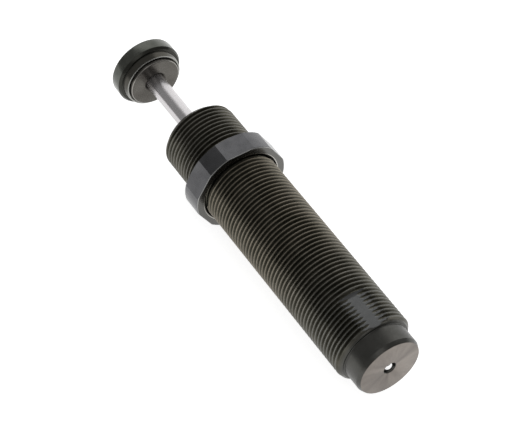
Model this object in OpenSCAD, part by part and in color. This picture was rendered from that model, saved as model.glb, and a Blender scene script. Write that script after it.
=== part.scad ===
// Industrial shock absorber with a fully threaded body, a lock nut and a capped rod.
// The stroke runs along +Y, the rear face lies in the XZ plane and +Z is up.
// Each piece is turned about its own local Z axis and then laid along the stroke.

/* [Body] */
// Nominal diameter of the body thread
thread_d = 25; // [24:0.5:27]
// Pitch of the body thread
thread_pitch = 1.5; // [1:0.25:2]
// Length of the body from its rear face to its front face
body_l = 106; // [100:0.1:130]
// Diameter of the bore that the inner pieces slide into
bore_d = 19; // [18.6:0.1:20]
// Thickness of the closed rear end
rear_wall = 8.6; // [7:0.1:12]
// Diameter of the flat rear face
rear_face_d = 20.1; // [18:0.1:21]
// Diameter of the smooth neck behind the thread
neck_d = 21.3; // [21:0.1:22.4]
// Length of the bevel between the rear face and the neck
rear_bevel_l = 1.35; // [0.3:0.05:1.5]
// Distance from the rear face to the start of the thread
neck_l = 7.3; // [4:0.1:9]
// Depth of the bevel that leads into the thread
lead_in = 1.2; // [0.8:0.1:1.4]
// Depth of the bevel at the front end of the thread
front_bevel = 1.7; // [0.8:0.1:2]
// Distance across the two wrench flats
flats_w = 23; // [22.6:0.1:23.8]
// Distance from the rear face to the front end of the wrench flats
flats_l = 20.5; // [14:0.5:30]
// Length of the plain stretch behind the nut, where a bracket sits
bracket_seat_l = 7.5; // [3:0.5:20]

/* [Fill port] */
// Diameter of the port in the rear face that takes the sealing ball
port_d = 4; // [3:0.5:5]
// Depth of the port
port_depth = 4.6; // [4:0.1:5.5]
// Bevel at the mouth of the port
port_bevel = 0.2; // [0.1:0.05:0.4]
// Diameter of the oil hole behind the port
oil_hole_d = 2; // [1.5:0.1:2.5]
// Depth of the ball below the rear face
ball_sink = 0.1; // [0.05:0.05:1.2]
// Amount by which the ball is larger than its port
ball_press = 0.03; // [0.02:0.01:0.05]

/* [Lock nut] */
// Wall of the nut between the thread's crests and the flats
nut_wall = 2.5; // [2:0.1:5]
// Height of the nut
nut_h = 8; // [6:0.5:12]
// Distance from the front face of the body back to the nut
nut_setback = 18.1; // [4:0.1:60]
// Height of the turned corners above the flats
nut_corner = 0.75; // [0.4:0.05:1.2]
// Distance from the flats in to the edge of the front face
nut_face_inset = 0.6; // [0.3:0.1:0.8]
// Angle of the bevel on the front corners
nut_bevel_angle = 30; // [20:5:35]
// Break of the rear corners
nut_rear_break = 0.25; // [0.1:0.05:0.5]
// Depth of the countersink beyond the thread at each mouth of the nut
nut_countersink = 0.8; // [0.3:0.1:1]

/* [Pressure tube] */
// Bore of the pressure tube
tube_bore_d = 13; // [12:0.1:13.4]
// Wall of the pressure tube
tube_wall = 1.5; // [1:0.1:1.6]
// Number of metering orifices along the stroke
orifice_count = 6; // [4:1:8]
// Diameter of one metering orifice
orifice_d = 0.9; // [0.6:0.1:1.2]
// Number of return notches in the front end of the tube
return_count = 4; // [3:1:6]
// Width of one return notch
return_w = 2; // [1.5:0.1:2.5]
// Length of one return notch
return_l = 1.2; // [0.8:0.1:2]
// Depth of the oil groove that leads to each return notch
return_groove = 0.8; // [0.5:0.1:1.2]

/* [Tube base] */
// Thickness of the flange that carries the tube
base_flange_l = 3; // [2:0.5:5]
// Length of the spigot that enters the tube
base_spigot_l = 4; // [3.5:0.5:6]
// Length of the spring guide in front of the spigot
base_guide_l = 5; // [3:0.5:8]

/* [Gland] */
// Length of the gland flange that seals in the body
gland_flange_l = 6; // [5:0.5:8]
// Length of the gland waist between its flange and the tube
gland_waist_l = 8; // [7:0.5:10]
// Length of the gland spigot that enters the tube
gland_spigot_l = 4; // [3:0.5:6]
// Length of the bearing bush
bush_l = 8; // [6:0.5:10]
// Wall of the bearing bush
bush_wall = 1.45; // [1:0.05:1.6]
// Length of the rod seal
seal_l = 4; // [3:0.5:5]
// Wall of the rod seal
seal_wall = 2.45; // [2:0.05:2.6]
// Thickness of the back-up ring in front of the rod seal
backup_t = 1.5; // [1:0.1:2]
// Section of the two O-rings
oring_section = 1.2; // [1:0.1:1.4]
// Length of the foam sleeve that takes up the oil of the rod
foam_l = 23.7; // [15:0.1:30]
// Wall of the foam sleeve
foam_wall = 1.1; // [0.8:0.05:1.2]

/* [Front end] */
// Distance from the front face of the body back to the retaining ring
front_land = 1.05; // [0.8:0.05:2]
// Thickness of the retaining ring
snap_t = 1; // [0.8:0.1:1.2]
// Depth of the retaining ring's groove
snap_groove = 0.7; // [0.5:0.05:0.8]
// Width of the band of the retaining ring
snap_band = 1.75; // [1.4:0.05:2]
// Diameter of the round lugs of the retaining ring
snap_lug_d = 2.6; // [2.2:0.1:3]
// Diameter of the plier hole in each lug
snap_hole_d = 1.2; // [1:0.1:1.4]
// Angle of the opening in the retaining ring
snap_gap_angle = 50; // [40:5:70]
// Thickness of the end cap
end_cap_l = 3.35; // [3:0.05:4]
// Length of the wiper
wiper_l = 2.2; // [1.8:0.1:2.4]
// Wall of the wiper
wiper_wall = 2.1; // [1.6:0.1:2.4]

/* [Rod] */
// Stroke from the rod fully out to its stop
stroke = 25; // [15:1:28]
// Rod that stays in the open at full stroke
rod_reserve = 0.9; // [0.5:0.1:2]
// Diameter of the rod
rod_d = 6; // [5.5:0.1:6.4]
// Diameter of the rod's tail that carries the piston
tail_d = 4; // [3.4:0.1:4.4]
// Length of tail inside the spring seat
tail_in_seat = 4.4; // [3:0.1:6]

/* [Piston] */
// Thickness of the piston's front flange
piston_flange_l = 2.3; // [2:0.1:3]
// Diameter of the piston hub that the check ring rides on
hub_d = 9; // [8.4:0.1:9.4]
// Number of oil passages through the flange
passage_count = 6; // [4:1:8]
// Diameter of one oil passage
passage_d = 1.2; // [0.8:0.1:1.4]
// Length of the check ring
check_ring_l = 3.6; // [3:0.1:5]
// Travel of the check ring between its two stops
check_ring_float = 0.8; // [0.6:0.1:1.2]
// Clearance between the check ring and the hub
check_ring_clearance = 0.5; // [0.3:0.1:0.6]
// Length of the piston retainer
retainer_l = 3.3; // [2.5:0.1:4]
// Diameter of the piston retainer
retainer_d = 11.6; // [11:0.1:12]
// Number of slots in the piston retainer
slot_count = 4; // [3:1:6]
// Width of one retainer slot
slot_w = 1.4; // [1:0.1:1.8]
// Depth of one retainer slot
slot_depth = 1; // [0.6:0.1:1.4]

/* [Return spring] */
// Wire diameter of the return spring
wire_d = 1.1; // [0.8:0.05:1.2]
// Number of turns from end to end
spring_turns = 22; // [16:1:24]
// Number of closed turns at each end
closed_turns = 1; // [1:1:2]
// Thickness of the spring seat's flange
seat_flange_l = 2.4; // [2:0.1:3]
// Length of the spring seat's guide inside the spring
seat_guide_l = 5; // [4:0.5:7]
// Diameter of both spring guides
guide_d = 8.4; // [7.6:0.1:8.6]

/* [Head] */
// Diameter of the rod button
button_d = 17.5; // [16:0.1:17.8]
// Thickness of the rod button
button_l = 5; // [4.5:0.1:6]
// Break of the button's rear edge
button_break = 0.35; // [0.2:0.05:0.6]
// Depth of the rod's socket in the button
socket_l = 4; // [3:0.1:4.2]
// Bevel at the mouth of the rod's socket
socket_bevel = 0.8; // [0.4:0.1:1]
// Distance from the button's rear face to the cap's rear lip
lip_setback = 1.05; // [0.5:0.05:1.5]
// Diameter of the cap's lip at its rear edge
lip_d = 19.2; // [19:0.1:20]
// Diameter of the cap's neck where it meets the shoulder
cap_neck_d = 19.9; // [19.4:0.1:20.6]
// Distance from the button's rear face to the cap's shoulder
shoulder_setback = 3.3; // [2.5:0.1:4]
// Diameter of the cap's flat shoulder
shoulder_d = 21.4; // [20.8:0.1:22]
// Length of the bevel from the shoulder to the rim
shoulder_bevel_l = 0.8; // [0.3:0.1:1.2]
// Diameter of the cap's rim
cap_d = 22.6; // [22.2:0.1:25]
// Thickness of the cap in front of the button
cap_face_t = 3.25; // [2:0.05:5]
// Edge radius of the impact face
cap_edge_r = 0.5; // [0.2:0.1:1]
// Width of the open groove between the button and the lip
lip_groove = 0.35; // [0.2:0.05:0.45]
// Depth of the open groove between the button and the lip
lip_groove_l = 1.15; // [0.6:0.05:1.4]
// Width of the snap bead inside the cap
bead_l = 0.8; // [0.5:0.1:1]
// Height of the snap bead inside the cap
bead_h = 0.35; // [0.2:0.05:0.4]

/* [Fits] */
// Radial clearance of a running fit
running_gap = 0.05; // [0.02:0.01:0.08]
// Radial clearance of a seal lip on the rod
seal_gap = 0.02; // [0.01:0.01:0.04]
// Radial clearance of a piece that is pushed home and stays
push_gap = 0.02; // [0.01:0.01:0.04]
// Clearance between faces that turn or slide on each other
face_gap = 0.1; // [0.05:0.05:0.3]
// Clearance between the piston and the gland with the rod fully out
piston_gap = 0.3; // [0.2:0.1:0.5]
// Radial clearance of a hole that the rod only passes through
pass_gap = 0.4; // [0.3:0.05:0.5]

/* [Hidden] */
$fn = 64;
eps = 0.01;

// Radii of the thread's crests, of its pitch cylinder and of its roots, and the lengths of one
// crest and one flank of its 60 degree form
thread_r = thread_d / 2;
pitch_r = thread_r - 0.6495 * thread_pitch / 2;
crest_l = thread_pitch / 8;
flank_l = thread_pitch * 5 / 16;
root_r = thread_r - flank_l * tan(60);

// Distance from the axis to the flats of the nut
nut_flat_r = thread_r + nut_wall;

// Places along the stroke, from the rear face to the front face
nut_front = body_l - nut_setback;
nut_rear = nut_front - nut_h;
base_front = rear_wall + base_flange_l;
base_spigot_front = base_front + base_spigot_l;
snap_front = body_l - front_land;
snap_rear = snap_front - snap_t;
gland_front = snap_rear - end_cap_l;
gland_shoulder = gland_front - gland_flange_l;
tube_front = gland_shoulder - gland_waist_l;
gland_rear = tube_front - gland_spigot_l;
bush_front = gland_rear + bush_l;
gland_web = 1;
seal_rear = bush_front + gland_web;
backup_rear = seal_rear + seal_l;
backup_front = backup_rear + backup_t;

// Places of the moving pieces with the rod fully out
piston_front = gland_rear - piston_gap;
piston_shoulder = piston_front - piston_flange_l;
hub_rear = piston_shoulder - check_ring_l - check_ring_float;
retainer_rear = hub_rear - retainer_l;
seat_front = retainer_rear - face_gap;
seat_shoulder = seat_front - seat_flange_l;
button_rear = body_l + stroke + rod_reserve;
button_front = button_rear + button_l;

// Radii that mating pieces share
bore_r = bore_d / 2;
body_fit_r = bore_r - running_gap;
tube_bore_r = tube_bore_d / 2;
tube_fit_r = tube_bore_r - running_gap;
tube_r = tube_bore_r + tube_wall;
rod_r = rod_d / 2;
bush_bore_r = rod_r + running_gap;
bush_r = bush_bore_r + bush_wall;
seal_bore_r = rod_r + seal_gap;
seal_r = seal_bore_r + seal_wall;
pass_r = rod_r + pass_gap;
tail_r = tail_d / 2;
tail_bore_r = tail_r + running_gap;
hub_r = hub_d / 2;
guide_r = guide_d / 2;
button_r = button_d / 2;
cap_bore_r = button_r + running_gap;
snap_groove_r = bore_r + snap_groove;
spring_r = guide_r + running_gap + 0.2 + wire_d / 2;

// Lays a piece turned about local Z along the stroke, at a distance from the rear face
module at(y) {
    rotate([-90, 0, 0]) translate([0, 0, y]) children();
}

// Solid of revolution from radius and length pairs
module turned(outline) {
    rotate_extrude() polygon(outline);
}

// Plain ring that stands on its rear face
module ring(outer_r, inner_r, length) {
    difference() {
        cylinder(r = outer_r, h = length);
        translate([0, 0, -eps]) cylinder(r = inner_r, h = length + 2 * eps);
    }
}

// Copies spread evenly round the axis
module around(count, start = 0) {
    for (i = [0 : count - 1]) rotate(start + i * 360 / count) children();
}

// O-ring whose outer face lies just inside the wall that it seals against
module oring(wall_r) {
    rotate_extrude() translate([wall_r - push_gap - oring_section / 2, 0]) circle(d = oring_section);
}

// Groove that holds an O-ring, cut from a spigot or a flange
module oring_groove(wall_r) {
    groove_w = oring_section * 1.3;
    translate([0, 0, -groove_w / 2])
        ring(wall_r + 1, wall_r - oring_section - 2 * push_gap, groove_w);
}

// Outline points of the thread between two planes: flat crests a pitch apart with flat roots
// between them, drawn as turned ribs without the helix. The last crest runs on to the end
function thread_ribs(start, end) =
    let (ribs = floor((end - start) / thread_pitch))
    [for (i = [0 : ribs - 1])
        let (crest = start + i * thread_pitch, next_crest = crest + thread_pitch)
        each [
            [thread_r, crest + crest_l],
            [root_r, crest + crest_l + flank_l],
            [root_r, next_crest - flank_l],
            [thread_r, next_crest]
        ]];

// Outside of the body: threaded, plain at the crests where a bracket sits behind the nut,
// and plain at the pitch cylinder where the nut's thread meshes with it
module body_outside() {
    turned([
        [0, 0],
        [rear_face_d / 2, 0],
        [neck_d / 2, rear_bevel_l],
        [neck_d / 2, neck_l],
        [thread_r - lead_in, neck_l],
        [thread_r, neck_l + lead_in],
        each thread_ribs(neck_l + lead_in, nut_rear - bracket_seat_l),
        [thread_r, nut_rear],
        [pitch_r, nut_rear],
        [pitch_r, nut_front],
        [thread_r, nut_front],
        each thread_ribs(nut_front, body_l - front_bevel),
        [thread_r, body_l - front_bevel],
        [thread_r - front_bevel, body_l],
        [0, body_l]
    ]);
}

// Two parallel wrench flats, one facing up and one down
module wrench_flats() {
    for (side = [0, 180])
        rotate(side) translate([-thread_r, flats_w / 2, -eps])
            cube([thread_d, thread_r, flats_l + eps]);
}

// Port for the sealing ball, with the oil hole behind it
module fill_port() {
    translate([0, 0, -eps]) cylinder(d = port_d, h = port_depth + eps);
    translate([0, 0, -eps])
        cylinder(r1 = port_d / 2 + port_bevel + eps, r2 = port_d / 2, h = port_bevel + eps);
    cylinder(d = oil_hole_d, h = rear_wall + eps);
}

module outer_body() {
    color("#3a3732") at(0) difference() {
        body_outside();
        translate([0, 0, rear_wall]) cylinder(r = bore_r, h = body_l);
        translate([0, 0, snap_rear - face_gap]) cylinder(r = snap_groove_r, h = snap_t + face_gap);
        wrench_flats();
        fill_port();
    }
}

module fill_ball() {
    ball_r = (port_d + ball_press) / 2;
    color("#c9cbcd") at(ball_sink + ball_r) sphere(r = ball_r);
}

// Base that closes the tube, centres the spring and lets filling oil through
module tube_base() {
    color("#8d8f92") at(rear_wall) difference() {
        union() {
            cylinder(r = body_fit_r, h = base_flange_l);
            cylinder(r = tube_fit_r, h = base_flange_l + base_spigot_l);
            cylinder(r = guide_r, h = base_flange_l + base_spigot_l + base_guide_l);
        }
        translate([0, 0, -eps]) cylinder(d = oil_hole_d, h = base_front + base_guide_l);
        translate([0, 0, base_flange_l + base_spigot_l / 2]) oring_groove(tube_bore_r);
    }
}

module base_seal() {
    color("#1c1c1c") at(base_front + base_spigot_l / 2) oring(tube_bore_r);
}

// Distance of orifice i behind the check ring at rest: the orifices crowd towards the
// end of the stroke, so that the braking force stays even as the rod slows down
function orifice_step(i) = stroke * (1 - pow((orifice_count - i) / orifice_count, 2));

// Tube with a row of metering orifices and return notches at its front end
module pressure_tube() {
    tube_l = tube_front - base_front;
    first_orifice = hub_rear - base_front - orifice_d;
    color("#a7a9ab") at(base_front) difference() {
        ring(tube_r, tube_bore_r, tube_l);
        for (i = [0 : orifice_count - 1])
            translate([0, 0, first_orifice - orifice_step(i)]) rotate([90, 0, 0])
                cylinder(d = orifice_d, h = tube_r + 1);
        around(return_count)
            translate([tube_bore_r - 1, -return_w / 2, tube_l - return_l])
                cube([tube_wall + 2, return_w, return_l + 1]);
    }
}

module accumulator_foam() {
    foam_r = bore_r - face_gap;
    color("#5a5a52") at(gland_shoulder - foam_l) ring(foam_r, foam_r - foam_wall, foam_l);
}

// Outside of the gland: spigot in the tube, waist against its end, flange in the body
module gland_outside() {
    turned([
        [0, gland_rear],
        [tube_fit_r, gland_rear],
        [tube_fit_r, tube_front],
        [tube_r, tube_front],
        [tube_r, gland_shoulder],
        [body_fit_r, gland_shoulder],
        [body_fit_r, gland_front],
        [0, gland_front]
    ]);
}

module rod_bearing() {
    color("#b08d4c") at(0) difference() {
        gland_outside();
        translate([0, 0, gland_rear - eps]) cylinder(r = bush_r + push_gap, h = bush_l + eps);
        translate([0, 0, gland_rear]) cylinder(r = pass_r, h = gland_front - gland_rear);
        translate([0, 0, seal_rear]) cylinder(r = seal_r + push_gap, h = gland_front);
        translate([0, 0, gland_front - gland_flange_l / 2]) oring_groove(bore_r);
        around(return_count)
            translate([tube_fit_r - return_groove, -return_w / 2, gland_rear - eps])
                cube([return_groove + 1, return_w, gland_spigot_l + eps]);
    }
}

module bearing_bush() {
    color("#a8763e") at(gland_rear) ring(bush_r, bush_bore_r, bush_l);
}

// Rod seal with an open lip towards the oil
module rod_seal() {
    lip_depth = seal_l / 2;
    lip_t = seal_wall / 4;
    color("#202326") at(seal_rear) turned([
        [seal_bore_r, 0],
        [seal_bore_r + lip_t, 0],
        [seal_bore_r + seal_wall / 2, lip_depth],
        [seal_r - lip_t, 0],
        [seal_r, 0],
        [seal_r, seal_l],
        [seal_bore_r, seal_l]
    ]);
}

module backup_ring() {
    color("#e4e0d4") at(backup_rear) ring(seal_r, bush_bore_r, backup_t);
}

module gland_seal() {
    color("#1c1c1c") at(gland_front - gland_flange_l / 2) oring(bore_r);
}

// Cap that holds the seal stack in the gland and carries the wiper
module end_cap() {
    color("#4a4a4a") at(0) difference() {
        union() {
            translate([0, 0, gland_front]) cylinder(r = body_fit_r, h = end_cap_l);
            translate([0, 0, backup_front]) cylinder(r = seal_r, h = gland_front - backup_front + eps);
        }
        translate([0, 0, backup_front - eps]) cylinder(r = pass_r, h = body_l);
        translate([0, 0, snap_rear - wiper_l])
            cylinder(r = seal_bore_r + wiper_wall + push_gap, h = wiper_l + eps);
    }
}

// Wiper with a lip that leans forward onto the rod
module wiper() {
    wiper_r = seal_bore_r + wiper_wall;
    color("#1b1d1f") at(snap_rear - wiper_l) turned([
        [seal_bore_r + wiper_wall / 3, 0],
        [wiper_r, 0],
        [wiper_r, wiper_l],
        [seal_bore_r + wiper_wall / 2, wiper_l],
        [seal_bore_r + wiper_wall / 3, wiper_l * 0.7],
        [seal_bore_r + wiper_wall / 6, wiper_l],
        [seal_bore_r, wiper_l]
    ]);
}

// Internal retaining ring with a gap and two plier lugs
module retaining_ring() {
    outer_r = snap_groove_r - push_gap;
    inner_r = outer_r - snap_band;
    lug_r = inner_r - snap_lug_d / 4;
    lug_angle = snap_gap_angle / 2;
    color("#2d2d2f") at(snap_rear) linear_extrude(snap_t) difference() {
        union() {
            difference() {
                circle(r = outer_r);
                circle(r = inner_r);
                polygon([
                    [0, 0],
                    [2 * outer_r * cos(lug_angle), 2 * outer_r * sin(lug_angle)],
                    [2 * outer_r * cos(lug_angle), -2 * outer_r * sin(lug_angle)]
                ]);
            }
            for (side = [-1, 1])
                rotate(side * lug_angle) translate([lug_r, 0]) circle(d = snap_lug_d);
        }
        for (side = [-1, 1])
            rotate(side * lug_angle) translate([lug_r, 0]) circle(d = snap_hole_d);
    }
}

// Return spring: a round wire on a helix whose end turns are closed
spring_rear = base_spigot_front + face_gap + wire_d / 2;
spring_front = seat_shoulder - face_gap - wire_d / 2;
closed_rise = wire_d * 1.03;
open_rise = (spring_front - spring_rear - 2 * closed_turns * closed_rise)
            / (spring_turns - 2 * closed_turns);
steps_per_turn = 18;
wire_sides = 8;

function wire_height(turn) =
    turn < closed_turns ? spring_rear + turn * closed_rise
    : turn > spring_turns - closed_turns ? spring_front - (spring_turns - turn) * closed_rise
    : spring_rear + closed_turns * closed_rise + (turn - closed_turns) * open_rise;

function wire_point(turn, side) =
    let (swing = 360 * side / wire_sides)
    let (reach = spring_r + wire_d / 2 * cos(swing))
    [reach * cos(360 * turn), reach * sin(360 * turn), wire_height(turn) + wire_d / 2 * sin(swing)];

module return_spring() {
    last = spring_turns * steps_per_turn;
    points = [for (i = [0 : last]) for (j = [0 : wire_sides - 1])
        wire_point(i / steps_per_turn, j)];
    rear_end = [for (j = [0 : wire_sides - 1]) j];
    front_end = [for (j = [wire_sides - 1 : -1 : 0]) last * wire_sides + j];
    walls = [for (i = [0 : last - 1]) for (j = [0 : wire_sides - 1])
        let (k = (j + 1) % wire_sides)
        [i * wire_sides + j, (i + 1) * wire_sides + j, (i + 1) * wire_sides + k, i * wire_sides + k]];
    color("#9aa0a4") at(0) polyhedron(points, concat([rear_end], walls, [front_end]));
}

// Hexagon nut: turned corners, a broad bevel in front and a small break behind
module lock_nut() {
    face_r = nut_flat_r - nut_face_inset;
    corner_r = nut_flat_r + nut_corner;
    bevel_l = (corner_r - face_r) * tan(nut_bevel_angle);
    bore = pitch_r + running_gap;
    mouth = thread_r + nut_countersink;
    color("#55585a") at(nut_rear) difference() {
        intersection() {
            cylinder(r = nut_flat_r / cos(30), h = nut_h, $fn = 6);
            turned([
                [0, 0],
                [corner_r - nut_rear_break, 0],
                [corner_r, nut_rear_break],
                [corner_r, nut_h - bevel_l],
                [face_r, nut_h],
                [0, nut_h]
            ]);
        }
        translate([0, 0, -eps]) cylinder(r = bore, h = nut_h + 2 * eps);
        translate([0, 0, -eps]) cylinder(r1 = mouth + eps, r2 = bore, h = mouth - bore + eps);
        translate([0, 0, nut_h - mouth + bore])
            cylinder(r1 = bore, r2 = mouth + eps, h = mouth - bore + eps);
    }
}

// Seat that the spring pushes against the piston; the rod's tail turns in it
module spring_seat() {
    seat_l = seat_flange_l + seat_guide_l;
    color("#7f8386") at(seat_front - seat_l) difference() {
        union() {
            cylinder(r = guide_r, h = seat_l);
            translate([0, 0, seat_guide_l]) cylinder(r = tube_fit_r - piston_gap, h = seat_flange_l);
        }
        translate([0, 0, -eps]) cylinder(r = tail_bore_r, h = seat_l + 2 * eps);
    }
}

module piston_rod() {
    color("#8a8782") at(0) union() {
        translate([0, 0, piston_front]) cylinder(r = rod_r, h = button_rear + socket_l - piston_front);
        translate([0, 0, seat_front - tail_in_seat])
            cylinder(r = tail_r, h = piston_front - seat_front + tail_in_seat + eps);
    }
}

// Piston: a flange with oil passages and the hub that the check ring floats on
module piston() {
    hub_l = piston_front - hub_rear;
    color("#9b9da0") at(hub_rear) difference() {
        union() {
            cylinder(r = hub_r, h = hub_l);
            translate([0, 0, hub_l - piston_flange_l])
                cylinder(r = tube_fit_r - piston_gap / 2, h = piston_flange_l);
        }
        translate([0, 0, -eps]) cylinder(r = tail_r + push_gap, h = hub_l + 2 * eps);
        around(passage_count)
            translate([hub_r + check_ring_clearance, 0, hub_l - piston_flange_l - eps])
                cylinder(d = passage_d, h = piston_flange_l + 2 * eps);
    }
}

module check_ring() {
    color("#6e5f48") at(hub_rear + check_ring_float / 2)
        ring(tube_fit_r, hub_r + check_ring_clearance, check_ring_l);
}

// Slotted round nut that clamps the piston and stops the check ring
module piston_retainer() {
    color("#77797c") at(retainer_rear) difference() {
        cylinder(d = retainer_d, h = retainer_l);
        translate([0, 0, -eps]) cylinder(r = tail_r + push_gap, h = retainer_l + 2 * eps);
        around(slot_count)
            translate([retainer_d / 2 - slot_depth, -slot_w / 2, -eps])
                cube([slot_depth + 1, slot_w, retainer_l / 2 + eps]);
    }
}

// Places inside the head, from the button's rear face
bead_mid = (shoulder_setback + button_l) / 2;
bead_groove_l = bead_l + 2 * face_gap;

// Steel button on the end of the rod, with a groove that holds the cap
module rod_button() {
    color("#8c857c") at(button_rear) difference() {
        turned([
            [0, 0],
            [button_r - button_break, 0],
            [button_r, button_break],
            [button_r, button_l],
            [0, button_l]
        ]);
        translate([0, 0, -eps]) cylinder(r = rod_r + push_gap, h = socket_l + eps);
        translate([0, 0, -eps])
            cylinder(r1 = rod_r + socket_bevel + eps, r2 = rod_r, h = socket_bevel + eps);
        translate([0, 0, bead_mid - bead_groove_l / 2])
            ring(button_r + 1, button_r - bead_h, bead_groove_l);
    }
}

// Outside of the impact cap: lip, slightly conical neck, shoulder, bevel and rim
module cap_outside() {
    cap_l = button_l + cap_face_t;
    rotate_extrude() union() {
        polygon([
            [0, lip_setback],
            [lip_d / 2, lip_setback],
            [cap_neck_d / 2, shoulder_setback],
            [shoulder_d / 2, shoulder_setback],
            [cap_d / 2, shoulder_setback + shoulder_bevel_l],
            [cap_d / 2, cap_l - cap_edge_r],
            [cap_d / 2 - cap_edge_r, cap_l - cap_edge_r],
            [cap_d / 2 - cap_edge_r, cap_l],
            [0, cap_l]
        ]);
        translate([cap_d / 2 - cap_edge_r, cap_l - cap_edge_r]) intersection() {
            circle(r = cap_edge_r);
            square(cap_edge_r);
        }
    }
}

// Impact cap that snaps over the button and leaves an open groove round it
module impact_cap() {
    groove_r = button_r + lip_groove;
    groove_front = lip_setback + lip_groove_l;
    color("#5f6459") at(button_rear) difference() {
        cap_outside();
        turned([
            [0, lip_setback - eps],
            [groove_r, lip_setback - eps],
            [groove_r, groove_front],
            [cap_bore_r, groove_front],
            [cap_bore_r, bead_mid - bead_l / 2],
            [cap_bore_r - bead_h, bead_mid],
            [cap_bore_r, bead_mid + bead_l / 2],
            [cap_bore_r, button_l],
            [0, button_l]
        ]);
    }
}

outer_body();
fill_ball();
tube_base();
base_seal();
pressure_tube();
accumulator_foam();
rod_bearing();
bearing_bush();
rod_seal();
backup_ring();
gland_seal();
end_cap();
wiper();
retaining_ring();
return_spring();
lock_nut();
spring_seat();
piston_rod();
piston();
check_ring();
piston_retainer();
rod_button();
impact_cap();
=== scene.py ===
"""The looks of an industrial shock absorber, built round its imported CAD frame.

The stroke runs along +Y from the rear face, +Z is up, and every length is in metres.
Angles round the axis are measured from straight up towards +X.
"""
from math import ceil, cos, floor, pi, radians, sin, tan

import bmesh
import bpy
import numpy as np
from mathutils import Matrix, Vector


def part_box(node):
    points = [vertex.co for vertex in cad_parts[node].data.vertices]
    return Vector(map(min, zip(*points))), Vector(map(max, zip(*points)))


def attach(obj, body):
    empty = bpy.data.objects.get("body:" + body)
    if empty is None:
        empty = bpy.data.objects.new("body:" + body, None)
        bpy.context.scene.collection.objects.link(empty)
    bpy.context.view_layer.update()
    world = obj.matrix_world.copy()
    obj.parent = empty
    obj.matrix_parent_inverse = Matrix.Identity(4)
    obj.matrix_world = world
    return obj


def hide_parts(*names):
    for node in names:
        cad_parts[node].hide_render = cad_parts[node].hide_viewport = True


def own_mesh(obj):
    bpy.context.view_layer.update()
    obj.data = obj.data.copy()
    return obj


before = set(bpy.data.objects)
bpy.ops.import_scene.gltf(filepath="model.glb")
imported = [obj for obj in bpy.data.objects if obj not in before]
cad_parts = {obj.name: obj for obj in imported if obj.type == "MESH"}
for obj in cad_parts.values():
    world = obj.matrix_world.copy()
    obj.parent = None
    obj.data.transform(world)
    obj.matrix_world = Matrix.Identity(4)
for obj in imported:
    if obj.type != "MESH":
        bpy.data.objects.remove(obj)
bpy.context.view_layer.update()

MM = 0.001

# Where the frame puts the pieces
BODY_LOW, BODY_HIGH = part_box("outer_body")
NUT_LOW, NUT_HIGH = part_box("lock_nut")
BUTTON_LOW, BUTTON_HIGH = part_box("rod_button")
CAP_LOW, CAP_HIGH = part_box("impact_cap")
BALL_LOW, BALL_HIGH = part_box("fill_ball")
SNAP_LOW, SNAP_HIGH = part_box("retaining_ring")
SPRING_LOW, SPRING_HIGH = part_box("return_spring")
BASE_LOW, BASE_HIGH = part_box("tube_base")
FLOOR_Z = NUT_LOW.z

# The body's thread, M25 x 1.5, with its crests broken and its roots rounded
PITCH = 1.5 * MM
THREAD_DEPTH = 0.6134 * PITCH
CREST_TO_PITCH_LINE = 0.6495 * PITCH / 2
THREAD_R = BODY_HIGH.x
ROOT_R = THREAD_R - THREAD_DEPTH
PITCH_R = THREAD_R - CREST_TO_PITCH_LINE
CREST_Y = 9.85 * MM
CREST_ANGLE = radians(-23.6)
CREST_FLAT = PITCH / 16
ROOT_FLAT = PITCH / 8

# Turned shapes of the body
BODY_LENGTH = BODY_HIGH.y
NECK_R = 10.65 * MM
REAR_FACE_R = 10.05 * MM
REAR_BEVEL = 1.35 * MM
NECK_LENGTH = 7.3 * MM
LEAD_IN = 1.2 * MM
FRONT_BEVEL = 1.7 * MM
BORE_R = 9.5 * MM
FLAT_R = 11.5 * MM
FLATS_LENGTH = 20.5 * MM
FLATS_SWEEP = 1.0 * MM
PORT_R = 2.0 * MM
PORT_DEPTH = 4.6 * MM
PORT_BEVEL = 0.2 * MM
OIL_HOLE_R = 1.0 * MM
SNAP_GROOVE_R = BORE_R + 0.7 * MM

# The lock nut
NUT_FLAT_R = NUT_HIGH.z
NUT_CORNER_R = NUT_HIGH.x
NUT_FACE_R = NUT_FLAT_R - 0.6 * MM
NUT_BEVEL = tan(radians(30))
NUT_REAR_BREAK = 0.25 * MM
NUT_MOUTH_R = THREAD_R + 0.62 * MM
THREAD_CLEARANCE = 0.05 * MM
NUT_BORE_R = PITCH_R + THREAD_CLEARANCE

# The button and the cap that snaps over it
BUTTON_R = BUTTON_HIGH.x
BUTTON_BREAK = 0.35 * MM
SOCKET_R = 3.02 * MM
SOCKET_DEPTH = 4 * MM
SOCKET_BEVEL = 0.8 * MM
BEAD_MID = 0.5 * (3.3 + 5) * MM
BEAD_GROOVE = 0.5 * MM
BEAD_HALF = 0.4 * MM
BEAD_H = 0.35 * MM
CAP_BORE_R = BUTTON_R + 0.05 * MM
LIP_GROOVE_R = BUTTON_R + 0.35 * MM
LIP_GROOVE_LENGTH = 1.15 * MM
LIP_R = 9.6 * MM
CAP_NECK_R = 9.95 * MM
SHOULDER_R = 10.7 * MM
SHOULDER_AT = 3.3 * MM
RIM_AT = 4.1 * MM
CAP_EDGE = 0.5 * MM

# The return spring and the stroke
WIRE_R = 0.55 * MM
SPRING_TURNS = 22

# Rounding of an edge that has no size of its own
EDGE = 0.12 * MM

# Table, lamps and camera
FLOOR_GLOW = 0.88
FLOOR_SIZE = 6.0
ROOM_LIGHT = 0.32
AIM = Vector((-2.4, 66.8, 0)) * MM
CAMERA_AZIMUTH = radians(-32.23)
CAMERA_ELEVATION = radians(50.667)
CAMERA_DISTANCE = 584.4 * MM
LENS = 135.13
SENSOR_WIDTH = 36


# Meshes

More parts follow.
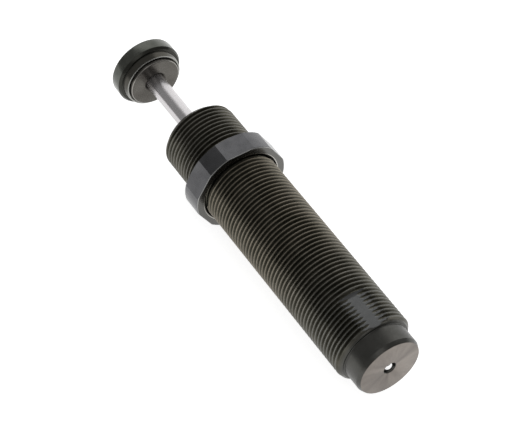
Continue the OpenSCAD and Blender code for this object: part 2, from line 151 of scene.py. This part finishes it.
def new_piece(name, points, faces, sharp=30, weld=1e-6):
    """A mesh object whose coincident points are joined and whose sharp edges stay sharp."""
    mesh = bpy.data.meshes.new(name)
    mesh.from_pydata(points, [], faces)
    work = bmesh.new()
    work.from_mesh(mesh)
    bmesh.ops.remove_doubles(work, verts=work.verts, dist=weld)
    bmesh.ops.dissolve_degenerate(work, edges=work.edges, dist=weld)
    bmesh.ops.recalc_face_normals(work, faces=work.faces)
    for face in work.faces:
        face.smooth = True
    work.to_mesh(mesh)
    work.free()
    mesh.set_sharp_from_angle(angle=radians(sharp))
    piece = bpy.data.objects.new(name, mesh)
    bpy.context.scene.collection.objects.link(piece)
    return piece


def wrap(angles, rows, close=False):
    """Points and faces of a skin round the stroke axis. Each row gives an arc of (y, r), one for
    each angle; the last angle is one full turn past the first."""
    count = len(angles)
    turn_x = np.sin(angles)
    turn_z = np.cos(angles)
    points = []
    for y, r in rows:
        y = np.broadcast_to(y, count)
        r = np.broadcast_to(r, count)
        points.append(np.stack([r * turn_x, y, r * turn_z], axis=1))
    points = np.concatenate(points)
    last = len(rows) if close else len(rows) - 1
    faces = []
    for i in range(last):
        low = i * count
        high = (i + 1) % len(rows) * count
        faces += [(low + j, low + j + 1, high + j + 1, high + j) for j in range(count - 1)]
    return points.tolist(), faces


def rounded(outline, radius=EDGE, steps=3):
    """An outline of (y, r) points whose corners are small arcs. A third number in a point is
    that corner's own radius."""
    result = []
    for i, point in enumerate(outline):
        here = Vector(point[:2])
        size = point[2] if len(point) > 2 else radius
        if i in (0, len(outline) - 1) or size == 0:
            result.append(tuple(here))
            continue
        before = Vector(outline[i - 1][:2]) - here
        after = Vector(outline[i + 1][:2]) - here
        half_turn = before.angle(after) / 2
        back = min(size / tan(half_turn), 0.45 * before.length, 0.45 * after.length)
        first = here + before.normalized() * back
        last = here + after.normalized() * back
        for k in range(steps + 1):
            t = k / steps
            result.append(tuple(first * (1 - t) ** 2 + here * 2 * t * (1 - t) + last * t ** 2))
    return result


def turned(name, outline, count=128, radius=EDGE, close=False, sharp=30):
    """A piece turned about the stroke axis from an outline of (y, r) points."""
    angles = np.linspace(0, 2 * pi, count + 1)
    points, faces = wrap(angles, rounded(outline, radius), close)
    return new_piece(name, points, faces, sharp)


# Thread

def thread_profile():
    """(offset along the axis, radius) over one pitch, from root to root across a crest."""
    flank = PITCH / 2 - ROOT_FLAT
    half = [
        (CREST_FLAT * 0.6, THREAD_R),
        (CREST_FLAT, THREAD_R - 0.02 * MM),
        (CREST_FLAT + 0.05 * MM, THREAD_R - 0.09 * MM),
        (0.5 * (CREST_FLAT + flank), 0.5 * (THREAD_R + ROOT_R)),
        (flank, ROOT_R + 0.05 * MM),
        (flank + 0.07 * MM, ROOT_R),
    ]
    return [(-y, r) for y, r in reversed(half)] + half


def helix_rows(angles, low_y, high_y):
    """Rows that follow the thread between two planes. Rows past a plane lie on it."""
    lead = PITCH * (angles - CREST_ANGLE) / (2 * pi)
    first = floor((low_y - CREST_Y - lead.max()) / PITCH) - 1
    last = ceil((high_y - CREST_Y - lead.min()) / PITCH) + 1
    rows = []
    for n in range(first, last + 1):
        for offset, r in thread_profile():
            y = np.clip(CREST_Y + n * PITCH + lead + offset, low_y, high_y)
            rows.append((y, np.full(len(angles), r)))
    return rows


def body_angles():
    """Angles round the body, crowded where the thread runs out into the two wrench flats."""
    near = np.radians(np.arange(-26, 26.01, 0.5))
    far = np.radians(np.arange(28, 152.01, 2))
    once = np.concatenate([near, far, near + pi, far + pi])
    return np.concatenate([once, [once[0] + 2 * pi]])


def flats_reach(angles, y):
    """Distance from the axis to the nearer wrench flat, which the cutter leaves in a sweep."""
    swept = np.maximum(y - FLATS_LENGTH + FLATS_SWEEP, 0) / (2 * FLATS_SWEEP)
    height = FLAT_R + (THREAD_R - FLAT_R) * swept ** 2
    return height / np.maximum(np.abs(np.cos(angles)), 1e-3)


def threaded_rows(angles):
    """The body's thread, cut by its lead-in, its front bevel and the wrench flats, and cut down
    to the pitch cylinder where the nut's thread meshes with it."""
    rows = []
    for y, r in helix_rows(angles, NECK_LENGTH, BODY_LENGTH):
        lead_in = THREAD_R - LEAD_IN + (y - NECK_LENGTH)
        front = THREAD_R - FRONT_BEVEL + (BODY_LENGTH - y)
        r = np.minimum(np.minimum(r, lead_in), front)
        r = np.where(y < FLATS_LENGTH + FLATS_SWEEP, np.minimum(r, flats_reach(angles, y)), r)
        under_nut = (y > NUT_LOW.y) & (y < NUT_HIGH.y)
        r = np.where(under_nut, np.minimum(r, PITCH_R), r)
        rows.append((y, r))
    return rows


def make_body():
    """The threaded cylinder: port and neck behind, bore and ring groove in front."""
    angles = body_angles()
    rear = rounded([
        (BASE_LOW.y, OIL_HOLE_R),
        (PORT_DEPTH, OIL_HOLE_R, 0),
        (PORT_DEPTH, PORT_R, 0),
        (PORT_BEVEL, PORT_R, 0.05 * MM),
        (0, PORT_R + PORT_BEVEL, 0.05 * MM),
        (0, REAR_FACE_R, 0.1 * MM),
        (REAR_BEVEL, NECK_R, 0.15 * MM),
        (NECK_LENGTH, NECK_R, 0.25 * MM),
        (NECK_LENGTH, THREAD_R - LEAD_IN, 0),
    ])
    front = rounded([
        (BODY_LENGTH, THREAD_R - FRONT_BEVEL, 0),
        (BODY_LENGTH, BORE_R),
        (SNAP_HIGH.y, BORE_R, 0),
        (SNAP_HIGH.y, SNAP_GROOVE_R, 0),
        (SNAP_LOW.y - 0.1 * MM, SNAP_GROOVE_R, 0),
        (SNAP_LOW.y - 0.1 * MM, BORE_R, 0),
        (BASE_LOW.y, BORE_R, 0),
        (BASE_LOW.y, OIL_HOLE_R, 0),
    ])
    points, faces = wrap(angles, rear + threaded_rows(angles) + front)
    return new_piece("threaded_body", points, faces, sharp=34)


# Nut

def nut_angles():
    """Angles round the nut, with lines close to each edge between a flat and a turned corner."""
    edge = np.degrees(np.arccos(NUT_FLAT_R / NUT_CORNER_R))
    step = [-30, -27, -24, -21, -edge - 0.5, -edge, -edge + 0.5, -14, -10, -5, 0]
    step += [-a for a in reversed(step[1:-1])]
    once = np.concatenate([np.radians(np.array(step) + 60 * k) for k in range(6)])
    return np.concatenate([once, [once[0] + 2 * pi]])


def nut_outer(angles):
    """Distance from the axis to the outside of the nut: six flats between turned corners."""
    from_flat = (angles + pi / 6) % (pi / 3) - pi / 6
    return np.minimum(NUT_FLAT_R / np.cos(from_flat), NUT_CORNER_R)


def make_nut():
    """The lock nut. Its thread runs out to the bore at both ends, where a thread cut off square
    would fold over itself."""
    angles = nut_angles()
    rear, front = NUT_LOW.y, NUT_HIGH.y
    mouth = NUT_MOUTH_R - NUT_BORE_R
    outer = nut_outer(angles)
    rear_edge = np.minimum(outer, NUT_CORNER_R - NUT_REAR_BREAK)
    bevel_y = front - (outer - NUT_FACE_R) * NUT_BEVEL
    bevel_mid = 0.5 * (outer + NUT_FACE_R)
    rear_y = rear + np.maximum(outer - rear_edge, EDGE)
    outside = [
        (rear, NUT_MOUTH_R + EDGE),
        (rear, rear_edge - EDGE),
        (rear + 0.3 * EDGE, rear_edge - 0.3 * EDGE),
        (rear_y, outer),
        (bevel_y - EDGE, outer),
        (bevel_y - 0.3 * EDGE, outer - 0.1 * EDGE),
        (bevel_y + 0.3 * EDGE * NUT_BEVEL, outer - 0.5 * EDGE),
        (bevel_y + EDGE * NUT_BEVEL, outer - EDGE),
        (front - (bevel_mid - NUT_FACE_R) * NUT_BEVEL, bevel_mid),
        (front - EDGE * NUT_BEVEL, NUT_FACE_R + EDGE),
        (front - 0.2 * EDGE * NUT_BEVEL, NUT_FACE_R),
        (front, NUT_FACE_R - EDGE),
        (front, NUT_MOUTH_R + EDGE),
        (front - 0.3 * EDGE, NUT_MOUTH_R),
        (front - mouth, NUT_BORE_R),
    ]
    inside = []
    low, high = rear + mouth, front - mouth
    for y, r in helix_rows(angles, low, high):
        run_out = NUT_BORE_R + np.minimum(y - low, high - y)
        inside.append((y, np.clip(r + THREAD_CLEARANCE, NUT_BORE_R, run_out)))
    inside.reverse()
    back = [
        (rear + mouth, NUT_BORE_R),
        (rear + 0.3 * EDGE, NUT_MOUTH_R),
    ]
    points, faces = wrap(angles, outside + inside + back, close=True)
    return new_piece("hex_nut", points, faces, sharp=12)


# Head

def make_button():
    """The steel disc: a socket for the rod behind, and a groove for the cap's bead."""
    rear = BUTTON_LOW.y
    length = BUTTON_HIGH.y - rear
    return turned("button_disc", [
        (rear + SOCKET_DEPTH, 0),
        (rear + SOCKET_DEPTH, SOCKET_R, 0),
        (rear + SOCKET_BEVEL, SOCKET_R, 0.05 * MM),
        (rear, SOCKET_R + SOCKET_BEVEL, 0.08 * MM),
        (rear, BUTTON_R - BUTTON_BREAK, 0.1 * MM),
        (rear + BUTTON_BREAK, BUTTON_R, 0.1 * MM),
        (rear + BEAD_MID - BEAD_GROOVE, BUTTON_R, 0.05 * MM),
        (rear + BEAD_MID - BEAD_GROOVE, BUTTON_R - BEAD_H, 0),
        (rear + BEAD_MID + BEAD_GROOVE, BUTTON_R - BEAD_H, 0),
        (rear + BEAD_MID + BEAD_GROOVE, BUTTON_R, 0.05 * MM),
        (rear + length, BUTTON_R, 0.1 * MM),
        (rear + length, 0),
    ])


def make_cap():
    """The cap: a lip round the button, a shoulder and a rim, with a bead that snaps in."""
    base = BUTTON_LOW.y
    lip = CAP_LOW.y
    front = CAP_HIGH.y
    rim_r = CAP_HIGH.x
    return turned("snap_cap", [
        (BUTTON_HIGH.y, 0),
        (BUTTON_HIGH.y, CAP_BORE_R, 0),
        (base + BEAD_MID + BEAD_HALF, CAP_BORE_R, 0),
        (base + BEAD_MID, CAP_BORE_R - BEAD_H, 0.1 * MM),
        (base + BEAD_MID - BEAD_HALF, CAP_BORE_R, 0),
        (lip + LIP_GROOVE_LENGTH, CAP_BORE_R, 0),
        (lip + LIP_GROOVE_LENGTH, LIP_GROOVE_R, 0.05 * MM),
        (lip, LIP_GROOVE_R, 0.15 * MM),
        (lip, LIP_R, 0.15 * MM),
        (base + SHOULDER_AT, CAP_NECK_R, 0.12 * MM),
        (base + SHOULDER_AT, SHOULDER_R, 0.1 * MM),
        (base + RIM_AT, rim_r, 0.15 * MM),
        (front, rim_r, CAP_EDGE),
        (front, 0),
    ])


# Spring

def make_spring():
    """The return spring, as the frame has it, with a rounder wire. The coils rise evenly between
    one closed turn at each end, whose coils all but touch."""
    turns = SPRING_TURNS
    coil_r = SPRING_HIGH.x - WIRE_R
    low = SPRING_LOW.y + WIRE_R
    high = SPRING_HIGH.y - WIRE_R
    closed = 2 * WIRE_R * 1.03
    rise = (high - low - 2 * closed) / (turns - 2)
    steps, sides = 36, 12
    points = []
    for i in range(turns * steps + 1):
        turn = i / steps
        if turn < 1:
            y = low + turn * closed
        elif turn > turns - 1:
            y = high - (turns - turn) * closed
        else:
            y = low + closed + (turn - 1) * rise
        for j in range(sides):
            swing = 2 * pi * j / sides
            reach = coil_r + WIRE_R * cos(swing)
            angle = 2 * pi * turn
            points.append((reach * cos(angle), y + WIRE_R * sin(swing), -reach * sin(angle)))
    faces = []
    for i in range(turns * steps):
        for j in range(sides):
            k = (j + 1) % sides
            low_ring, high_ring = i * sides, (i + 1) * sides
            faces.append((low_ring + j, high_ring + j, high_ring + k, low_ring + k))
    faces.append(tuple(range(sides)))
    faces.append(tuple(reversed(range(turns * steps * sides, turns * steps * sides + sides))))
    return new_piece("coil_spring", points, faces, sharp=50)


# Materials

class Nodes:
    """Short names for building one material's node tree."""

    def __init__(self, name):
        self.material = bpy.data.materials.new(name)
        self.material.use_nodes = True
        self.tree = self.material.node_tree
        self.shader = self.tree.nodes["Principled BSDF"]
        self.place = self.add("ShaderNodeTexCoord").outputs["Object"]

    def add(self, kind, **settings):
        node = self.tree.nodes.new(kind)
        for key, value in settings.items():
            setattr(node, key, value)
        return node

    def link(self, source, target):
        self.tree.links.new(source, target)
        return target

    def set(self, **values):
        for key, value in values.items():
            self.shader.inputs[key.replace("_", " ")].default_value = value

    def math(self, operation, a, b=0.0):
        node = self.add("ShaderNodeMath", operation=operation)
        for socket, value in zip(node.inputs, (a, b)):
            if isinstance(value, (int, float)):
                socket.default_value = value
            else:
                self.link(value, socket)
        return node.outputs[0]

    def stretch(self, x, y, z):
        node = self.add("ShaderNodeMapping")
        node.inputs["Scale"].default_value = (x, y, z)
        self.link(self.place, node.inputs["Vector"])
        return node.outputs[0]

    def axes(self):
        """The three parts of a place on the piece, in metres."""
        split = self.add("ShaderNodeSeparateXYZ")
        self.link(self.place, split.inputs[0])
        return split.outputs

    def polar(self):
        """Distance from the stroke axis and place along it, in metres."""
        parts = self.axes()
        square = self.math("ADD", self.math("POWER", parts["X"], 2.0),
                           self.math("POWER", parts["Z"], 2.0))
        return self.math("SQRT", square), parts["Y"]

    def noise(self, scale, detail=3.0, vector=None, roughness=0.5):
        node = self.add("ShaderNodeTexNoise")
        node.inputs["Scale"].default_value = scale
        node.inputs["Detail"].default_value = detail
        node.inputs["Roughness"].default_value = roughness
        self.link(vector or self.place, node.inputs["Vector"])
        return node.outputs["Fac"]

    def ramp(self, value, *stops):
        node = self.add("ShaderNodeValToRGB")
        while len(node.color_ramp.elements) < len(stops):
            node.color_ramp.elements.new(0.5)
        for element, (position, colour) in zip(node.color_ramp.elements, stops):
            element.position = position
            element.color = (*colour, 1) if isinstance(colour, tuple) else (colour,) * 3 + (1,)
        self.link(value, node.inputs["Fac"])
        return node.outputs["Color"]

    def mix(self, factor, a, b):
        node = self.add("ShaderNodeMix", data_type="RGBA")
        for socket, value in ((node.inputs[0], factor), (node.inputs[6], a), (node.inputs[7], b)):
            if isinstance(value, (int, float)):
                socket.default_value = value
            elif isinstance(value, tuple):
                socket.default_value = (*value, 1)
            else:
                self.link(value, socket)
        return node.outputs[2]

    def band(self, value, low, high, soft=0.02 * MM):
        """1 where a length lies between two others, 0 elsewhere."""
        above = self.math("DIVIDE", self.math("SUBTRACT", value, low), soft)
        below = self.math("DIVIDE", self.math("SUBTRACT", high, value), soft)
        node = self.add("ShaderNodeMath", operation="MINIMUM", use_clamp=True)
        self.link(above, node.inputs[0])
        self.link(below, node.inputs[1])
        return node.outputs[0]

    def lathe_grain(self, amount):
        """Stretches the reflections across the turning marks round the stroke axis."""
        tangent = self.add("ShaderNodeTangent", direction_type="RADIAL", axis="Y")
        self.link(tangent.outputs[0], self.shader.inputs["Tangent"])
        self.set(Anisotropic=amount, Anisotropic_Rotation=0.25)

    def bump(self, height, strength, distance, before=None):
        node = self.add("ShaderNodeBump")
        node.inputs["Strength"].default_value = strength
        node.inputs["Distance"].default_value = distance
        self.link(height, node.inputs["Height"])
        if before:
            self.link(before, node.inputs["Normal"])
        return node.outputs["Normal"]

    def finish(self, colour=None, roughness=None, normal=None):
        for name, source in (("Base Color", colour), ("Roughness", roughness), ("Normal", normal)):
            if source is not None:
                self.link(source, self.shader.inputs[name])
        return self.material


def turning_marks(n, radial, strength=0.15):
    """Fine lathe marks: rings on end faces, hoops along a cylinder."""
    distance, along = n.polar()
    source = distance if radial else along
    join = n.add("ShaderNodeCombineXYZ")
    n.link(source, join.inputs["X"])
    marks = n.noise(9000, 2, join.outputs[0])
    return n.bump(marks, strength, 0.02 * MM)


def black_steel():
    """Black oxide over cut steel: near-black in the roots, worn olive on the crests, with a
    smooth neutral neck and a bare turned end face whose streaks are painted sheen."""
    n = Nodes("black_oxide_steel")
    distance, along = n.polar()
    patches = n.noise(160, 4)
    fine = n.noise(1500, 3)
    depth = n.math("DIVIDE", n.math("SUBTRACT", distance, ROOT_R), THREAD_R - ROOT_R)
    worn = n.math("ADD", depth, n.math("MULTIPLY", n.math("SUBTRACT", fine, 0.5), 0.5))
    oxide = n.ramp(patches, (0.35, (0.056, 0.054, 0.042)), (0.65, (0.088, 0.083, 0.066)))
    brown = n.ramp(patches, (0.30, (0.165, 0.148, 0.115)), (0.70, (0.225, 0.198, 0.158)))
    grey = n.ramp(patches, (0.30, (0.125, 0.124, 0.112)), (0.70, (0.170, 0.168, 0.154)))
    behind_nut = n.ramp(n.math("DIVIDE", along, BODY_LENGTH),
                        (0.18, 0.0), (0.45, 1.0), (0.78, 1.0), (0.80, 0.2))
    crest = n.mix(behind_nut, grey, brown)
    coat = n.mix(n.ramp(worn, (0.60, 0.0), (1.0, 1.0)), oxide, crest)
    smooth_skin = n.ramp(patches, (0.3, (0.060, 0.059, 0.054)), (0.7, (0.086, 0.085, 0.079)))
    past_neck = n.ramp(n.math("DIVIDE", along, NECK_LENGTH + LEAD_IN), (0.86, 0.0), (1.0, 1.0))
    coat = n.mix(past_neck, smooth_skin, coat)
    milled = n.ramp(patches, (0.3, (0.095, 0.097, 0.097)), (0.7, (0.120, 0.122, 0.122)))
    coat = n.mix(wrench_flats(n, along), coat, milled)
    # The bare end face's colour carries painted sheen: streaks that stand in for its reflections.
    bare = n.ramp(painted_sheen_fans(n, distance), (0.3, (0.125, 0.110, 0.098)),
                  (0.7, (0.232, 0.207, 0.184)))
    at_face = n.ramp(n.math("DIVIDE", along, 1 * MM), (0.0, 1.0), (0.12, 0.0))
    colour = n.mix(at_face, coat, bare)
    thread_rough = n.ramp(fine, (0.3, 0.26), (0.7, 0.38))
    rough = n.mix(past_neck, n.ramp(fine, (0.3, 0.30), (0.7, 0.42)), thread_rough)
    n.set(Metallic=1.0)
    n.lathe_grain(0.5)
    marks = turning_marks(n, radial=True, strength=0.25)
    return n.finish(colour, rough, n.bump(n.noise(4000, 2), 0.08, 0.02 * MM, marks))


def wrench_flats(n, along):
    """1 on the two wrench flats and on the sweep that the cutter leaves, 0 elsewhere."""
    past_start = n.math("SUBTRACT", along, FLATS_LENGTH - FLATS_SWEEP)
    swept = n.math("DIVIDE", n.math("MAXIMUM", past_start, 0.0), 2 * FLATS_SWEEP)
    rise = n.math("MULTIPLY", n.math("POWER", swept, 2.0), THREAD_R - FLAT_R)
    on_flat = n.band(n.math("SUBTRACT", height_off_axis(n), rise), FLAT_R - 0.05 * MM,
                     FLAT_R + 0.05 * MM, 0.04 * MM)
    along_flats = n.band(along, NECK_LENGTH, FLATS_LENGTH + 0.8 * FLATS_SWEEP, 0.3 * MM)
    return n.math("MULTIPLY", on_flat, along_flats)


def painted_sheen_fans(n, distance):
    """Painted sheen: lighter and darker streaks, standing in for reflections, that spread from the
    middle of a turned face.
    """
    parts = n.axes()
    join = n.add("ShaderNodeCombineXYZ")
    n.link(n.math("DIVIDE", parts["X"], distance), join.inputs["X"])
    n.link(n.math("DIVIDE", parts["Z"], distance), join.inputs["Y"])
    n.link(n.math("MULTIPLY", distance, 40.0), join.inputs["Z"])
    return n.noise(1.6, 3, join.outputs[0])


def height_off_axis(n):
    """Distance above or below the stroke axis."""
    return n.math("ABSOLUTE", n.axes()["Z"])


def nut_steel():
    """Dark plating, with a painted highlight along the rear outer edge and a painted highlight
    round the mouth of the bore.
    """
    n = Nodes("dark_nut_steel")
    distance, along = n.polar()
    patches = n.noise(220, 4)
    grain = n.noise(2500, 3)
    plating = n.ramp(patches, (0.3, (0.074, 0.074, 0.077)), (0.7, (0.102, 0.102, 0.106)))
    # Painted highlight: a bright line along the rear outer edge.
    rear_edge = n.band(along, NUT_LOW.y + 0.03 * MM, NUT_LOW.y + NUT_REAR_BREAK - 0.05 * MM)
    outside = n.band(distance, NUT_MOUTH_R + 0.2 * MM, 2 * NUT_CORNER_R)
    mouth = n.band(distance, NUT_MOUTH_R - 0.1 * MM, NUT_MOUTH_R + 0.3 * MM)
    colour = n.mix(n.math("MULTIPLY", rear_edge, outside), plating, (0.30, 0.30, 0.29))
    rear_face = n.band(along, NUT_LOW.y - 0.1 * MM, NUT_LOW.y + 0.02 * MM)
    colour = n.mix(rear_face, colour, (0.125, 0.123, 0.116))
    # Painted highlight: a bright ring round the mouth of the bore.
    colour = n.mix(mouth, colour, (0.42, 0.41, 0.38))
    rough = n.ramp(grain, (0.3, 0.20), (0.7, 0.30))
    n.set(Metallic=1.0)
    n.lathe_grain(0.5)
    return n.finish(colour, rough, n.bump(grain, 0.08, 0.03 * MM))


def chrome():
    """Ground and polished chrome, with faint hoops."""
    n = Nodes("hard_chrome")
    hoops = n.noise(300, 3, n.stretch(0.05, 12, 0.05))
    colour = n.ramp(hoops, (0.3, (0.52, 0.50, 0.505)), (0.7, (0.60, 0.585, 0.59)))
    rough = n.ramp(hoops, (0.3, 0.15), (0.7, 0.21))
    n.set(Metallic=0.9)
    n.lathe_grain(0.97)
    return n.finish(colour, rough, turning_marks(n, radial=False, strength=0.03))


def button_steel():
    """Oiled turned steel, with a painted highlight on its broken edge."""
    n = Nodes("turned_button_steel")
    distance, along = n.polar()
    patches = n.noise(180, 4)
    skin = n.ramp(patches, (0.3, (0.078, 0.073, 0.065)), (0.7, (0.112, 0.106, 0.096)))
    # Painted highlight: a bright line on the broken edge.
    edge = n.band(distance, BUTTON_R - 0.28 * MM, BUTTON_R - 0.1 * MM)
    colour = n.mix(edge, skin, (0.30, 0.29, 0.27))
    rough = n.ramp(n.noise(1800, 3), (0.3, 0.24), (0.7, 0.32))
    n.set(Metallic=1.0)
    n.lathe_grain(0.82)
    return n.finish(colour, rough, turning_marks(n, radial=True, strength=0.1))


def cap_polymer():
    """Mottled dark polymer, with a painted highlight on the lip's end face and painted shade on
    the neck and shoulder.
    """
    n = Nodes("cap_polymer")
    along = n.polar()[1]
    patches = n.noise(240, 5, roughness=0.65)
    skin = n.ramp(patches, (0.3, (0.062, 0.065, 0.056)), (0.7, (0.110, 0.113, 0.100)))
    # Painted highlight: the lip's end face, made paler below.
    lip = n.band(along, CAP_LOW.y - 0.1 * MM, CAP_LOW.y + 0.12 * MM)
    # Painted shade: the neck and the shoulder made darker.
    shoulder = n.band(along, CAP_LOW.y + 2.1 * MM, CAP_LOW.y + 3.1 * MM)
    hub = n.band(along, CAP_LOW.y + 0.2 * MM, CAP_LOW.y + 2.1 * MM)
    skin = n.mix(hub, skin, (0.066, 0.063, 0.054))
    skin = n.mix(shoulder, skin, (0.036, 0.036, 0.031))
    colour = n.mix(n.math("MULTIPLY", lip, 0.7), skin, (0.40, 0.40, 0.38))
    rough = n.ramp(patches, (0.3, 0.18), (0.7, 0.30))
    n.set(Metallic=0.9)
    return n.finish(colour, rough, n.bump(n.noise(2600, 3), 0.1, 0.04 * MM))


def plain_metal(name, low, high, rough=(0.22, 0.36), grain=900):
    """Machined metal of one alloy, with fine hoops."""
    n = Nodes(name)
    hoops = n.noise(grain, 3, n.stretch(0.3, 3, 0.3))
    n.set(Metallic=1.0)
    colour = n.ramp(hoops, (0.3, low), (0.7, high))
    return n.finish(colour, n.ramp(hoops, (0.3, rough[0]), (0.7, rough[1])),
                    n.bump(hoops, 0.1, 0.02 * MM))


def soft_stuff(name, low, high, rough, scale=700, bump=0.2):
    """Rubber, foam or plastic."""
    n = Nodes(name)
    grain = n.noise(scale, 4)
    colour = n.ramp(grain, (0.3, low), (0.7, high))
    return n.finish(colour, n.ramp(grain, (0.3, rough - 0.08), (0.7, rough + 0.08)),
                    n.bump(grain, bump, 0.05 * MM))


def floor_white():
    """White table whose shadow stays faint: part of its light comes from itself."""
    n = Nodes("white_table")
    tone = n.ramp(n.noise(3, 2), (0.3, 0.90), (0.7, 0.92))
    n.set(Roughness=0.9, Specular_IOR_Level=0.1, Emission_Strength=FLOOR_GLOW)
    n.link(tone, n.shader.inputs["Emission Color"])
    return n.finish(tone)


# Stage

def make_camera():
    """Camera at the viewing angle of the picture: azimuth 0 looks along +Y."""
    level = cos(CAMERA_ELEVATION)
    away = Vector((sin(CAMERA_AZIMUTH) * level, -cos(CAMERA_AZIMUTH) * level,
                   sin(CAMERA_ELEVATION)))
    data = bpy.data.cameras.new("camera")
    data.lens = LENS
    data.sensor_width = SENSOR_WIDTH
    data.sensor_fit = "HORIZONTAL"
    camera = bpy.data.objects.new("camera", data)
    camera.location = AIM + away * CAMERA_DISTANCE
    camera.rotation_euler = (pi / 2 - CAMERA_ELEVATION, 0, CAMERA_AZIMUTH)
    bpy.context.scene.collection.objects.link(camera)
    bpy.context.scene.camera = camera


def make_floor(material):
    """The table, level with the nut's lower flat."""
    half = FLOOR_SIZE / 2
    corners = [(-half, -half, FLOOR_Z), (half, -half, FLOOR_Z), (half, half, FLOOR_Z),
               (-half, half, FLOOR_Z)]
    table = new_piece("table", corners, [(0, 1, 2, 3)])
    table.data.materials.append(material)


def softbox(name, azimuth, elevation, distance, width, height, power, tint=(1, 1, 1)):
    """Rectangular lamp that faces the object. Azimuth 0 is straight behind the object as the
    camera sees it, and positive to its right."""
    turn = CAMERA_AZIMUTH - radians(azimuth)
    level = cos(radians(elevation))
    away = Vector((-sin(turn) * level, cos(turn) * level, sin(radians(elevation))))
    data = bpy.data.lights.new(name, "AREA")
    data.shape = "RECTANGLE"
    data.size = width
    data.size_y = height
    data.energy = power
    data.color = tint
    lamp = bpy.data.objects.new(name, data)
    lamp.location = AIM + away * distance
    lamp.rotation_euler = (-away).to_track_quat("-Z", "Y").to_euler()
    lamp.visible_camera = False
    bpy.context.scene.collection.objects.link(lamp)


def make_world(room):
    """A white background for the camera, and a dimmer studio for everything else."""
    world = bpy.data.worlds.new("studio")
    world.use_nodes = True
    tree = world.node_tree
    background = tree.nodes["Background"]
    background.inputs["Color"].default_value = (room, room, room, 1)
    white = tree.nodes.new("ShaderNodeBackground")
    white.inputs["Color"].default_value = (1, 1, 1, 1)
    path = tree.nodes.new("ShaderNodeLightPath")
    blend = tree.nodes.new("ShaderNodeMixShader")
    tree.links.new(path.outputs["Is Camera Ray"], blend.inputs[0])
    tree.links.new(background.outputs[0], blend.inputs[1])
    tree.links.new(white.outputs[0], blend.inputs[2])
    tree.links.new(blend.outputs[0], tree.nodes["World Output"].inputs["Surface"])
    bpy.context.scene.world = world


def dress(node, material):
    """Gives a CAD node its finish."""
    piece = bpy.data.objects[node]
    piece.data.materials.clear()
    piece.data.materials.append(material)


def mount(piece, body, node, material):
    """Puts a new piece on its body, in place of a CAD node."""
    piece.data.materials.append(material)
    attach(piece, body)
    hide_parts(node)


STEEL = plain_metal("bright_steel", (0.48, 0.48, 0.47), (0.60, 0.60, 0.59))
WIRE = plain_metal("spring_wire", (0.34, 0.34, 0.34), (0.46, 0.46, 0.46), (0.28, 0.42))
BRONZE = plain_metal("bearing_bronze", (0.46, 0.29, 0.14), (0.58, 0.38, 0.19), (0.35, 0.5))
BRASS = plain_metal("gland_brass", (0.55, 0.40, 0.19), (0.68, 0.52, 0.27), (0.25, 0.4))
RUBBER = soft_stuff("seal_rubber", (0.010, 0.010, 0.011), (0.022, 0.022, 0.024), 0.5)
FOAM = soft_stuff("accumulator_foam", (0.04, 0.04, 0.036), (0.09, 0.09, 0.08), 0.85, 1500, 0.6)
FILLED_PLASTIC = soft_stuff("backup_plastic", (0.66, 0.63, 0.56), (0.78, 0.75, 0.68), 0.5)
BLACK = black_steel()
POLISHED = plain_metal("ball_steel", (0.72, 0.72, 0.72), (0.82, 0.82, 0.82), (0.06, 0.12))

make_camera()
make_floor(floor_white())
make_world(ROOM_LIGHT)
softbox("back_wall", 12, 28, 1.4, 2.4, 1.5, 11.5)
softbox("fill", 180, 60, 1.6, 1.0, 1.0, 2)

mount(make_body(), "housing", "outer_body", BLACK)
mount(make_nut(), "nut", "lock_nut", nut_steel())
mount(make_button(), "rod", "rod_button", button_steel())
mount(make_cap(), "rod", "impact_cap", cap_polymer())
spring = make_spring()
mount(spring, "housing", "return_spring", WIRE)
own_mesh(spring)

FINISHES = {
    "fill_ball": POLISHED,
    "tube_base": STEEL,
    "base_seal": RUBBER,
    "pressure_tube": STEEL,
    "accumulator_foam": FOAM,
    "rod_bearing": BRASS,
    "bearing_bush": BRONZE,
    "rod_seal": RUBBER,
    "backup_ring": FILLED_PLASTIC,
    "gland_seal": RUBBER,
    "end_cap": STEEL,
    "wiper": RUBBER,
    "retaining_ring": WIRE,
    "spring_seat": STEEL,
    "piston_rod": chrome(),
    "piston": STEEL,
    "check_ring": BRONZE,
    "piston_retainer": STEEL,
}
for node_name, finish in FINISHES.items():
    dress(node_name, finish)

bpy.context.scene.view_settings.view_transform = "Standard"
